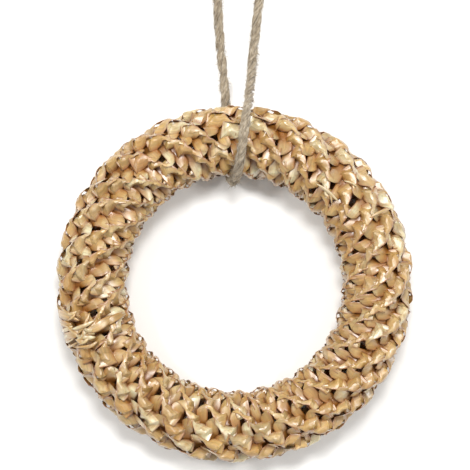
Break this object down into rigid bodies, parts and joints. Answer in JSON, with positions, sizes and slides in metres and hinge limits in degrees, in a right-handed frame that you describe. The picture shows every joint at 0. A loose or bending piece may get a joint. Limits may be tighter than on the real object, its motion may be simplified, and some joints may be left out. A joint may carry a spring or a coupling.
{
  "type": "straw ornament",
  "caption": "Wreath-shaped ornament braided from flat glossy straw strips, with a knotted jute twine loop round it to hang it by.",
  "frame": {"origin": "on the surface it lies on, below the middle of the braided ring", "axes": "+Z up, through the ring's hole, out of its front; +Y towards the side that the twine loop hangs it from; +X to the right as seen from the front with +Y up"},
  "size_m": [0.11, 0.1836, 0.0241],
  "materials": {
    "straw": "satin dried straw, honey to pale cream, brown in the gaps",
    "jute_twine": "matt, hairy three-ply jute"
  },
  "bodies": {
    "root": {"straw_braid": "straw", "hanging_twine": "jute_twine", "twine_knot": "jute_twine"}
  },
  "joints": []
}
